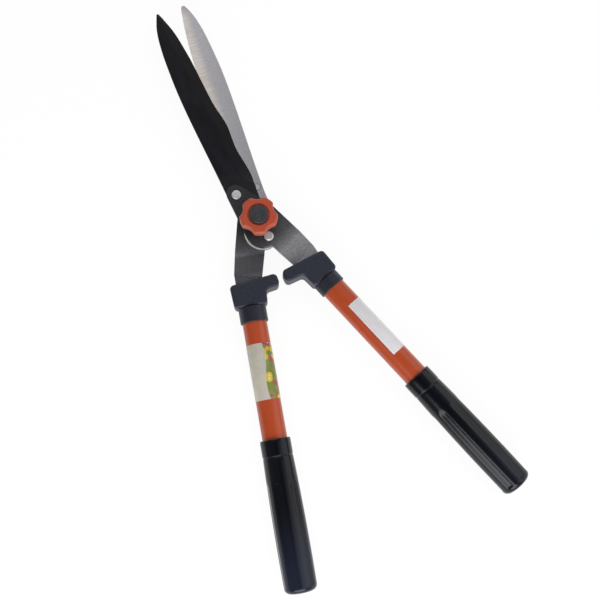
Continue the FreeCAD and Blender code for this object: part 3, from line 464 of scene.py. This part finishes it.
def rubbed_orange_nylon(tint, rim):
    """Injection moulded nylon: satin, with a painted highlight that makes its rounded rim and its
    walls paler."""
    material = grained_moulding(
        tint, "rubbed_orange_nylon", roughness=0.45, grain=1.2, relief=0.12, contrast=0.1)
    tree = material.node_tree
    shader = tree.nodes["Principled BSDF"]
    grained = shader.inputs["Base Color"].links[0].from_socket
    # Painted highlight on the slanted faces: the rim's rounding and the walls
    painted_rim_highlight = remap(tree, facing_up(tree), 0.3, 0.97, 1, 0, smooth=True)
    connect(tree, shader, {"Base Color": blend(tree, painted_rim_highlight, grained, shade(rim, 1))})
    return material


def glossy_grip_vinyl(tint, place, painted_light_end, name):
    """Dipped and moulded vinyl: dark, bluish, glossy, slightly uneven, with faint flow marks along
    the grip, and drawn paler towards its closed end with painted light."""
    material, tree, shader = start_material(name, tint, ior=1.42)
    where = millimetres(tree, place)
    flow = noise(tree, where, (4, 40, 4), detail=3)
    vinyl = blend(tree, flow, shade(tint, 0.75), shade(tint, 1.35))
    # Painted light: the grip is drawn paler towards its closed end
    painted_light = remap(tree, axes(tree, where)["Y"], 55, 130, 1, painted_light_end, smooth=True)
    connect(tree, shader, {
        "Base Color": scaled(tree, vinyl, painted_light),
        "Roughness": remap(tree, flow, 0, 1, 0.17, 0.27)})
    emboss(tree, shader, flow, strength=0.06, depth=0.5)
    return material


# Labels
PRINT = {name: (*linear(code), 1) for name, code in {
    "lilac_haze": "#c3bdb6", "pink_petal": "#b83a62", "yellow_petal": "#d9bd2e",
    "pale_heart": "#e8dcc8", "dark_leaf": "#4f6430", "light_leaf": "#9aa348",
    "grey_rule": "#8b8890"}.items()}


def cream_printed_film(tint, place):
    """Printed vinyl film: cream ground with pale lilac clouds, and along one side, past a waved
    border, round blossoms in pink and yellow on leaf green."""
    material, tree, shader = start_material("cream_printed_film", tint, roughness=0.32)
    where = millimetres(tree, place)
    clouds = noise(tree, where, 8, detail=3)
    haze = remap(tree, clouds, 0.42, 0.62)
    ground = blend(tree, haze, shade(tint, 1.08), PRINT["lilac_haze"])
    blossoms_apart = 7.5
    cells = add_node(tree, "TexVoronoi", {}, {
        "Vector": where, "Scale": 1 / blossoms_apart, "Randomness": 0.7})
    draw = add_node(tree, "SeparateColor", {}, {"Color": cells.outputs["Color"]})
    yellow = compute(tree, "GREATER_THAN", draw.outputs["Red"], 0.5)
    petals = blend(tree, yellow, PRINT["pink_petal"], PRINT["yellow_petal"])
    leaves = blend(tree, clouds, PRINT["dark_leaf"], PRINT["light_leaf"])
    from_centre = cells.outputs["Distance"]
    flowers = blend(tree, remap(tree, from_centre, 0.42, 0.5, 1, 0), leaves, petals)
    flowers = blend(tree, remap(tree, from_centre, 0.1, 0.16, 1, 0), flowers,
                    PRINT["pale_heart"])
    along, outward = axes(tree, where)["Y"], axes(tree, where)["Z"]
    swing = compute(tree, "SINE", compute(tree, "MULTIPLY", along, 1 / 9))
    border = compute(tree, "MULTIPLY_ADD", swing, 1.5, outward)
    past_border = remap(tree, border, 2.7, 3.1)
    connect(tree, shader, {"Base Color": blend(tree, past_border, ground, flowers)})
    return material


def white_ruled_film(tint, place):
    """Printed vinyl film: off white with faint grey rules along its length."""
    material, tree, shader = start_material("white_ruled_film", tint, roughness=0.34)
    where = millimetres(tree, place)
    label_radius, half_spacing = 12.2, 1.1
    turn = compute(tree, "ARCTAN2", axes(tree, where)["X"], axes(tree, where)["Z"])
    arc = compute(tree, "MULTIPLY", turn, label_radius)
    rules = remap(tree, compute(tree, "PINGPONG", arc, half_spacing), 0.6, 0.9, 0, 0.6)
    smudge = noise(tree, where, (3, 9, 3), detail=2)
    faint = compute(tree, "MULTIPLY", rules, smudge)
    film = blend(tree, faint, shade(tint, 1), PRINT["grey_rule"])
    connect(tree, shader, {"Base Color": film})
    return material


# Shared steps of modelling
def start_fresh():
    """Leave nothing selected and no edit mode open."""
    if bpy.context.object and bpy.context.object.mode != "OBJECT":
        bpy.ops.object.mode_set(mode="OBJECT")
    bpy.ops.object.select_all(action="DESELECT")


def choose(piece, kind, test):
    """Select the vertices or faces whose place passes a test, and leave edit mode open."""
    bpy.ops.object.mode_set(mode="EDIT")
    bpy.ops.mesh.select_mode(type="VERT" if kind == "vertices" else "FACE")
    bpy.ops.mesh.select_all(action="DESELECT")
    bpy.ops.object.mode_set(mode="OBJECT")
    if kind == "vertices":
        for vertex in piece.data.vertices:
            vertex.select = test(vertex.co)
    else:
        for face in piece.data.polygons:
            face.select = test(face.center)
    bpy.ops.object.mode_set(mode="EDIT")


def apply_modifier(piece, kind, **settings):
    modifier = piece.modifiers.new(kind.title(), kind)
    for name, value in settings.items():
        setattr(modifier, name, value)
    bpy.ops.object.modifier_apply(modifier=modifier.name)


def settle(piece, place, name, node, material):
    """Move a finished piece to its place, leave its object at the origin and let it stand for a
    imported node."""
    start_fresh()
    piece.matrix_world = place
    piece.select_set(True)
    bpy.context.view_layer.objects.active = piece
    bpy.ops.object.transform_apply(location=True, rotation=True, scale=True)
    piece.name = name
    piece.data.name = name
    piece.data.materials.clear()
    piece.data.materials.append(material)
    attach(piece, frame["nodes"][node]["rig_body"])
    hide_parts(node)


def copy_piece(piece):
    twin = piece.copy()
    twin.data = piece.data.copy()
    bpy.context.scene.collection.objects.link(twin)
    return twin


def reach_along(node, place):
    """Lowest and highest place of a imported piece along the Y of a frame."""
    inverse = place.inverted()
    places = [(inverse @ vertex.co).y for vertex in frame["nodes"][node].data.vertices]
    return min(places), max(places)


def extrude_rings(rows, height, radius):
    """Extrude the selected ring up through pairs of height and radius."""
    for along, wide in rows:
        bpy.ops.mesh.extrude_region_move(
            TRANSFORM_OT_translate={"value": (0, 0, along - height)})
        bpy.ops.transform.resize(
            value=(wide / radius, wide / radius, 1), center_override=(0, 0, along))
        height, radius = along, wide


# Both turn a piece that is modelled upright so that its Z lies along the handle's Y. The first
# suits the grips, and the second brings the middle of a label's arc to X.
LAY_DOWN = Matrix(((0, 1, 0, 0), (0, 0, 1, 0), (1, 0, 0, 0), (0, 0, 0, 1)))
LAY_LABEL_DOWN = Matrix(((1, 0, 0, 0), (0, 0, 1, 0), (0, -1, 0, 0), (0, 0, 0, 1)))

# Fixed details of the grips and the labels
END_ROUND = 5 * MM
END_ROUND_TURNS = (0, 22, 45, 68, 90)
END_WALL = 6 * MM
CENTRE_HOLE = 2 * MM
SIDE_STEPS = 10
SIDES_OF_A_FLUTE = 8
LABEL_SHELL_SIDES = 120
# Rings of the band: distance in millimetres past the mouth or the band, and drop under its wall
MOUTH_LIP = ((0.25, 0.25), (0.9, 0))
BAND_STEP = ((-0.9, 0), (-0.3, 0), (0, 0.55), (0.5, 0.6))
# Rounding of a flute's upper end: from and to which share of the pitch off the flute's middle
# the corners slide, and how far in millimetres
FLUTE_END_SLIDES = ((0.2, 0.3, 3.4), (0.1, 0.15, 1.0))


class SHEARS_OT_blades(bpy.types.Operator):
    """Coat the front blade and grind the rear one"""
    bl_idname = "shears.blades"
    bl_label = "Blades"

    def execute(self, context):
        colours = context.scene.shears_colours
        coated = baked_nonstick_coating(
            colours.coating, colours.thin_coating_and_heel_light, blade_place("front"))
        dress(coated, "front_blade")
        ground = cross_ground_steel(colours.ground, colours.ground_warm, blade_place("rear"))
        dress(ground, "rear_blade")
        return {"FINISHED"}


class SHEARS_OT_levers(bpy.types.Operator):
    """Lacquer the two levers"""
    bl_idname = "shears.levers"
    bl_label = "Levers"

    def execute(self, context):
        colours = context.scene.shears_colours
        # The front lever's first bend is in shade, and the rear one's gleams
        finishes = {"front": (colours.painted_lever_sheen, 0.8), "rear": (colours.lacquer, 1.7)}
        for side, (lit, bend) in finishes.items():
            plate = lacquered_plate(
                colours.lacquer, lit, bend, handle_place(side), f"{side}_lacquered_plate")
            dress(plate, f"{side}_lever")
        return {"FINISHED"}


class SHEARS_OT_fittings(bpy.types.Operator):
    """Plate the rivets, bolt, nut, washers and pins, and turn the brass bush"""
    bl_idname = "shears.fittings"
    bl_label = "Fittings"

    def execute(self, context):
        colours = context.scene.shears_colours
        rivets = [f"{side}_{place}_rivet" for side in SIDES for place in ("nose", "heel")]
        dress(bright_zinc(colours.rivet, "barrelled_zinc_rivet"), *rivets)
        dress(bright_zinc(colours.rivet, "plated_zinc_fitting"), "pivot_bolt", "knob_nut",
              "flat_washer", "spring_washer", "front_cross_pin", "rear_cross_pin")
        dress(turned_brass(colours.brass), "pivot_bush")
        return {"FINISHED"}


class SHEARS_OT_knob(bpy.types.Operator):
    """Mould the tension knob and its cap"""
    bl_idname = "shears.knob"
    bl_label = "Knob"

    def execute(self, context):
        colours = context.scene.shears_colours
        dress(rubbed_orange_nylon(colours.knob, colours.knob_highlight), "tension_knob")
        cap = grained_moulding(
            colours.cap, "grey_moulded_nylon", roughness=0.38, grain=2.4, relief=0.4,
            contrast=0.6)
        dress(cap, "knob_cap")
        return {"FINISHED"}


class SHEARS_OT_stops(bpy.types.Operator):
    """Mould the stop blocks, the collars and the pieces inside the tubes"""
    bl_idname = "shears.stops"
    bl_label = "Stop blocks and collars"

    def execute(self, context):
        colours = context.scene.shears_colours
        block = grained_moulding(
            colours.stop, "dark_moulded_nylon", roughness=0.5, grain=2.2, relief=0.16,
            contrast=0.28)
        dress(block, "front_stop_block", "rear_stop_block")
        collar = grained_moulding(
            shade(colours.stop, 0.72)[:3], "dark_moulded_collar", roughness=0.45, grain=1.6,
            relief=0.14, contrast=0.3)
        dress(collar, "front_collar", "rear_collar")
        filler = grained_moulding(
            colours.filler, "black_moulded_filler", roughness=0.6, grain=2, relief=0.1)
        dress(filler, "front_tube_filler", "rear_tube_filler", "front_tube_plug",
              "rear_tube_plug")
        return {"FINISHED"}


class SHEARS_OT_tubes(bpy.types.Operator):
    """Enamel the two tubes"""
    bl_idname = "shears.tubes"
    bl_label = "Tubes"

    def execute(self, context):
        tint = context.scene.shears_colours.orange_paint
        for side in SIDES:
            dress(tube_enamel(tint, handle_place(side), f"{side}_tube_enamel"), f"{side}_tube")
        return {"FINISHED"}


class SHEARS_OT_grips(bpy.types.Operator):
    """Model the fluted grip once, rings first and then its flutes, and push one over each tube"""
    bl_idname = "shears.grips"
    bl_label = "Grips"

    def side_radius(self, sizes, along):
        """Radius of the grip's side at a distance from its mouth, past the band."""
        share = (along - sizes.band) / (sizes.grip_length - END_ROUND - sizes.band)
        straight = sizes.neck_radius + (sizes.end_radius - sizes.neck_radius) * share
        # The bulge is a parabola, highest in the middle
        return straight + sizes.bulge * 4 * share * (1 - share)

    def rings(self, sizes):
        """Distance from the mouth and radius of every ring, from the mouth to the closed end."""
        band, wall, start = sizes.band, sizes.band_radius, sizes.flute_start
        rows = [(past * MM, wall - drop * MM) for past, drop in MOUTH_LIP]
        rows.append((band / 2, wall))
        rows += [(band + past * MM, wall - drop * MM) for past, drop in BAND_STEP]
        rows.append((band + 0.9 * MM, sizes.neck_radius - 0.05 * MM))

        last = sizes.grip_length - END_ROUND
        # Rings close together round the flutes' upper ends, and even ones along the flutes
        stations = [band + 2 * MM, band + 9 * MM, start - 7 * MM, start - 2.5 * MM, start]
        first_even, last_even = start + 8 * MM, last - 3 * MM
        stations += [first_even + (last_even - first_even) * step / SIDE_STEPS
                     for step in range(SIDE_STEPS + 1)]
        rows += [(along, self.side_radius(sizes, along)) for along in stations]

        for lean in (math.radians(turn) for turn in END_ROUND_TURNS):
            rows.append((last + END_ROUND * math.sin(lean),
                         sizes.end_radius - END_ROUND * (1 - math.cos(lean))))
        rows.append((sizes.grip_length, sizes.end_radius - 8 * MM))
        rows.append((sizes.grip_length, CENTRE_HOLE))
        return rows

    def bore_rings(self, sizes):
        """Distance from the mouth and radius of every ring of the bore, with its bottom."""
        bottom = sizes.grip_length - END_WALL
        return [(0, sizes.bore + 0.4 * MM), (0.5 * MM, sizes.bore), (6 * MM, sizes.bore),
                (bottom - 0.5 * MM, sizes.bore), (bottom, sizes.bore - 1 * MM),
                (bottom, CENTRE_HOLE)]

    def press_flutes(self, grip, sizes):
        """Round the upper ends of the flutes' faces, inset them and press them in."""
        start = sizes.flute_start
        end = sizes.grip_length - 4.5 * MM
        outside = sizes.bore + 1 * MM
        pitch = 2 * math.pi / sizes.flutes

        def off_middle(place):
            """Share of the pitch between a place and the middle of the nearest flute."""
            turn = math.atan2(place.y, place.x) % pitch
            return min(turn, pitch - turn) / pitch

        for low, high, slide in FLUTE_END_SLIDES:
            choose(grip, "vertices", lambda place: abs(place.z - start) < 1e-5
                   and low < off_middle(place) < high)
            bpy.ops.transform.translate(value=(0, 0, slide * MM))
        choose(grip, "faces", lambda place: start < place.z < end
               and off_middle(place) < 0.25 and math.hypot(place.x, place.y) > outside)
        bpy.ops.mesh.inset(thickness=sizes.flute_slope, depth=-sizes.flute_depth)

    def model_grip(self, sizes):
        """One grip, upright, with its mouth at the origin."""
        start_fresh()
        mouth = sizes.band_radius - 0.9 * MM
        bpy.ops.mesh.primitive_circle_add(
            vertices=SIDES_OF_A_FLUTE * sizes.flutes, radius=mouth, location=(0, 0, 0))
        grip = bpy.context.object
        bpy.ops.object.mode_set(mode="EDIT")
        bpy.ops.mesh.select_all(action="SELECT")
        extrude_rings(self.rings(sizes), 0, mouth)
        bpy.ops.mesh.merge(type="CENTER")
        choose(grip, "vertices", lambda place: abs(place.z) < 1e-6)
        extrude_rings(self.bore_rings(sizes), 0, mouth)
        bpy.ops.mesh.merge(type="CENTER")
        bpy.ops.mesh.select_all(action="SELECT")
        bpy.ops.mesh.normals_make_consistent(inside=False)
        self.press_flutes(grip, sizes)
        bpy.ops.object.mode_set(mode="OBJECT")
        apply_modifier(grip, "SUBSURF", levels=2, render_levels=2)
        bpy.ops.object.shade_smooth()
        return grip

    def execute(self, context):
        sizes = context.scene.shears_grips
        tint = context.scene.shears_colours.grip
        grip = self.model_grip(sizes)
        pieces = {"front": grip, "rear": copy_piece(grip)}
        for side in SIDES:
            place = handle_place(side)
            low = reach_along(f"{side}_grip", place)[0]
            mouth_place = place @ Matrix.Translation((0, low, 0))
            turn = Matrix.Rotation(getattr(sizes, f"{side}_turn"), 4, "Y")
            vinyl = glossy_grip_vinyl(
                tint, mouth_place, getattr(sizes, f"{side}_bloom"), f"{side}_glossy_vinyl")
            settle(pieces[side], mouth_place @ turn @ LAY_DOWN, f"{side}_fluted_grip",
                   f"{side}_grip", vinyl)
        return {"FINISHED"}


class SHEARS_OT_labels(bpy.types.Operator):
    """Cut the two labels from a thin shell and lay them on the tubes"""
    bl_idname = "shears.labels"
    bl_label = "Labels"

    def shell(self, sizes, depth, wrap):
        """Part of a tube as wide as the label, given its thickness and softened at its edges."""
        start_fresh()
        bpy.ops.mesh.primitive_cylinder_add(
            vertices=LABEL_SHELL_SIDES, radius=sizes.radius, depth=depth,
            end_fill_type="NOTHING", location=(0, 0, 0))
        label = bpy.context.object
        choose(label, "faces", lambda place: abs(math.atan2(place.y, place.x)) > wrap / 2)
        bpy.ops.mesh.delete(type="FACE")
        bpy.ops.object.mode_set(mode="OBJECT")
        apply_modifier(label, "SOLIDIFY", thickness=sizes.thickness, offset=1.0)
        apply_modifier(label, "BEVEL", width=sizes.edge, segments=2, limit_method="ANGLE",
                       angle_limit=1.0)
        bpy.ops.object.shade_smooth_by_angle(angle=math.radians(40))
        return label

    def execute(self, context):
        sizes = context.scene.shears_labels
        colours = context.scene.shears_colours
        for side in SIDES:
            place = handle_place(side)
            low, high = reach_along(f"{side}_label", place)
            label = self.shell(sizes, high - low, getattr(sizes, f"{side}_wrap"))
            turn = Matrix.Rotation(getattr(sizes, f"{side}_turn"), 4, "Y")
            label_place = place @ Matrix.Translation((0, (low + high) / 2, 0)) @ turn
            if side == "front":
                film = white_ruled_film(colours.white_label, label_place)
            else:
                film = cream_printed_film(colours.cream_label, label_place)
            settle(label, label_place @ LAY_LABEL_DOWN, f"{side}_film_label",
                   f"{side}_label", film)
        return {"FINISHED"}


# World directions that the camera shows as right, and as up and to the right
RIGHTWARD = (0.92, -0.38, 0)
SOFT_BOX = (0.4, -0.34, 0.85)
# Place and size of each lamp in metres, and what they point at
LAMPS = {"key": ((-0.35, -0.9, 0.55), (1.0, 0.6)), "side": ((0.85, -0.35, 0.5), (1.2, 0.9))}
LAMPS_AIM = Vector((0, -0.05, 0))
WHITE = (1, 1, 1, 1)


class SHEARS_OT_stage(bpy.types.Operator):
    """Lay the pale floor and set the camera, the world's soft light and the lamps"""
    bl_idname = "shears.stage"
    bl_label = "Stage"

    def white_paper(self):
        """Matt white paper: seen as white by camera and reflections, and still keeping the
        shadow."""
        material = bpy.data.materials.new("matt_white_paper")
        material.use_nodes = True
        tree = material.node_tree
        tree.nodes.remove(tree.nodes["Principled BSDF"])
        paper = add_node(tree, "BsdfDiffuse", {}, {"Color": (0.95, 0.95, 0.95, 1)})
        glow = add_node(tree, "Emission", {}, {"Color": WHITE, "Strength": 1.03})
        path = add_node(tree, "LightPath").outputs
        seen = compute(tree, "MAXIMUM", path["Is Camera Ray"], path["Is Glossy Ray"])
        seen = compute(tree, "MAXIMUM", seen, path["Is Transmission Ray"])
        share = compute(tree, "MULTIPLY", seen, 0.9)
        mixed = add_node(tree, "MixShader", {}, {
            0: share, 1: paper.outputs[0], 2: glow.outputs[0]})
        tree.links.new(mixed.outputs[0], tree.nodes["Material Output"].inputs["Surface"])
        return material

    def tent_strength(self, tree, ray):
        """Strength of the tent's light by its direction."""
        direction = add_node(tree, "TexCoord").outputs["Generated"]
        # Low down the tent is bright, and overhead it is nearly dark
        shifted = compute_vector(tree, "ADD", direction, (0, 0.15, 0))
        flattened = compute_vector(tree, "MULTIPLY", shifted, (0.55, 1, 0))
        lowness = compute_vector(tree, "LENGTH", flattened)
        level = remap(tree, lowness, 0.15, 0.85, 0.04, 1.12, smooth=True)
        # Both sides are dimmer
        sideways = compute_vector(tree, "DOT_PRODUCT", direction, RIGHTWARD)
        left = remap(tree, sideways, -0.7, -0.05, 0.25, 1, smooth=True)
        right = remap(tree, sideways, 0.05, 0.4, 1, 0.3, smooth=True)
        dimmed = compute(tree, "MULTIPLY", level, compute(tree, "MULTIPLY", left, right))
        away = compute_vector(tree, "SUBTRACT", direction, SOFT_BOX)
        soft_box = remap(tree, compute_vector(tree, "LENGTH", away), 0.16, 0.42, 0.8, 0,
                         smooth=True)
        shown = compute(tree, "MAXIMUM", dimmed, soft_box)
        # The tent lights matt surfaces a little more than it shows in shiny ones
        fill = compute(tree, "MULTIPLY_ADD", ray["Is Diffuse Ray"], 0.35, 1)
        return compute(tree, "MULTIPLY", shown, fill)

    def light_tent(self):
        """World: bright beyond the blades and the handles, dimmer to both sides and overhead but
        for one soft box at the upper right, and white where the camera sees it."""
        world = bpy.data.worlds.new("light_tent")
        bpy.context.scene.world = world
        world.use_nodes = True
        tree = world.node_tree
        ray = add_node(tree, "LightPath").outputs
        tent = tree.nodes["Background"]
        tent.inputs["Color"].default_value = WHITE
        tree.links.new(self.tent_strength(tree, ray), tent.inputs["Strength"])
        white = add_node(tree, "Background", {}, {"Color": WHITE, "Strength": 1.0})
        mixed = add_node(tree, "MixShader", {}, {
            0: ray["Is Camera Ray"], 1: tent.outputs[0], 2: white.outputs[0]})
        tree.links.new(mixed.outputs[0], tree.nodes["World Output"].inputs["Surface"])

    def lamp(self, name, watts):
        place, size = LAMPS[name]
        start_fresh()
        bpy.ops.object.light_add(type="AREA", location=place)
        lamp = bpy.context.object
        lamp.name = f"{name}_lamp"
        lamp.data.shape = "RECTANGLE"
        lamp.data.size, lamp.data.size_y = size
        lamp.data.energy = watts
        lamp.rotation_euler = (LAMPS_AIM - Vector(place)).to_track_quat("-Z", "Y").to_euler()

    def execute(self, context):
        stage = context.scene.shears_stage
        start_fresh()
        low = min(place[2] for place in CAD_BOX)
        bpy.ops.mesh.primitive_plane_add(size=8, location=(0, 0, low - stage.floor_drop))
        floor = context.object
        floor.name = "paper_floor"
        floor.data.materials.append(self.white_paper())
        self.light_tent()
        self.lamp("key", stage.key_power)
        self.lamp("side", stage.side_power)
        start_fresh()
        bpy.ops.object.camera_add(location=stage.camera_place, rotation=stage.camera_turn)
        camera = context.object
        camera.data.lens = stage.focal_length
        camera.data.sensor_width = 36
        context.scene.camera = camera
        context.scene.view_settings.view_transform = "Standard"
        return {"FINISHED"}


STEPS = (SHEARS_OT_blades, SHEARS_OT_levers, SHEARS_OT_fittings, SHEARS_OT_knob,
         SHEARS_OT_stops, SHEARS_OT_tubes, SHEARS_OT_grips, SHEARS_OT_labels, SHEARS_OT_stage)
GROUPS = {"shears_colours": ShearsColours, "shears_grips": ShearsGrips,
          "shears_labels": ShearsLabels, "shears_stage": ShearsStage}


class SHEARS_PT_panel(bpy.types.Panel):
    """Steps and settings of the hedge shears"""
    bl_idname = "SHEARS_PT_panel"
    bl_label = "Hedge Shears"
    bl_space_type = "VIEW_3D"
    bl_region_type = "UI"
    bl_category = "Shears"

    def draw(self, context):
        for step in STEPS:
            self.layout.operator(step.bl_idname)
        for group in GROUPS:
            settings = getattr(context.scene, group)
            box = self.layout.box()
            for name in settings.bl_rna.properties.keys():
                if name not in ("rna_type", "name"):
                    box.prop(settings, name)


def register():
    for group in GROUPS.values():
        bpy.utils.register_class(group)
    for step in STEPS:
        bpy.utils.register_class(step)
    bpy.utils.register_class(SHEARS_PT_panel)
    for name, group in GROUPS.items():
        setattr(bpy.types.Scene, name, bpy.props.PointerProperty(type=group))


def unregister():
    for name in GROUPS:
        delattr(bpy.types.Scene, name)
    bpy.utils.unregister_class(SHEARS_PT_panel)
    for step in reversed(STEPS):
        bpy.utils.unregister_class(step)
    for group in reversed(GROUPS.values()):
        bpy.utils.unregister_class(group)


def main():
    register()
    bpy.ops.shears.blades()
    bpy.ops.shears.levers()
    bpy.ops.shears.fittings()
    bpy.ops.shears.knob()
    bpy.ops.shears.stops()
    bpy.ops.shears.tubes()
    bpy.ops.shears.grips()
    bpy.ops.shears.labels()
    bpy.ops.shears.stage()


if __name__ == "__main__":
    main()
